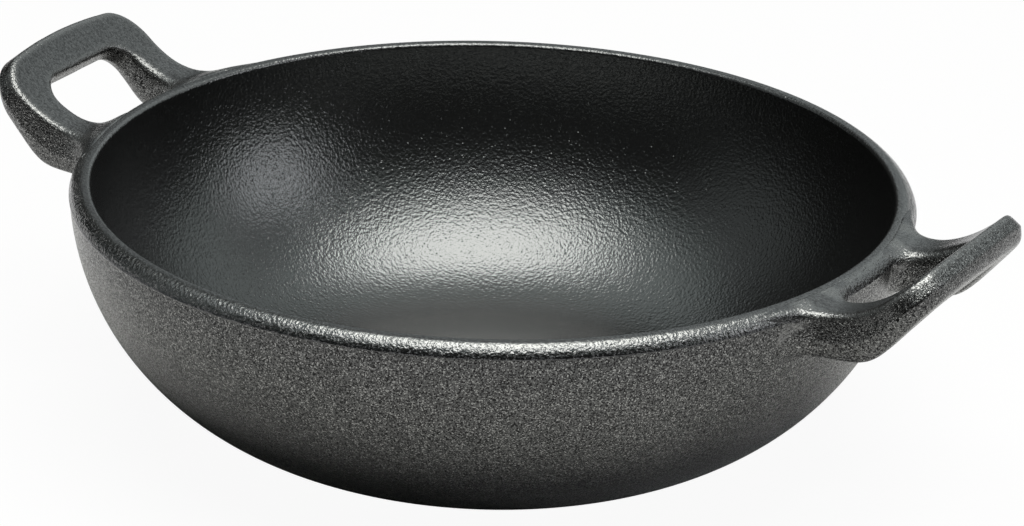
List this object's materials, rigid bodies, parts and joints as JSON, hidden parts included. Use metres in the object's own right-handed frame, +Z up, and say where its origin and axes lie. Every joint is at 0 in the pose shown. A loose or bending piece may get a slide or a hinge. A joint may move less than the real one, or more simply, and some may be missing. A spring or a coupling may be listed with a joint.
{
  "type": "cast iron wok",
  "caption": "Round cast iron wok with a flat base, curved wall, lipped rim and upswept loop handles on opposite sides.",
  "frame": {"origin": "centre of the flat underside, on the surface that the wok stands on", "axes": "+X towards the right handle, +Y away from the front of the wok, +Z up through the open mouth"},
  "size_m": [0.3836, 0.3, 0.1098],
  "materials": {
    "bowl_iron": "seasoned black cast iron, satin inside and sand-cast grain outside",
    "handle_iron": "seasoned dark grey cast iron with worn edges"
  },
  "bodies": {
    "root": {"base_disc": "bowl_iron", "bowl_wall": "bowl_iron", "rim_lip": "bowl_iron", "right_handle_front_arm": "handle_iron", "right_handle_rear_arm": "handle_iron", "right_handle_grip": "handle_iron", "left_handle_front_arm": "handle_iron", "left_handle_rear_arm": "handle_iron", "left_handle_grip": "handle_iron"}
  },
  "joints": []
}
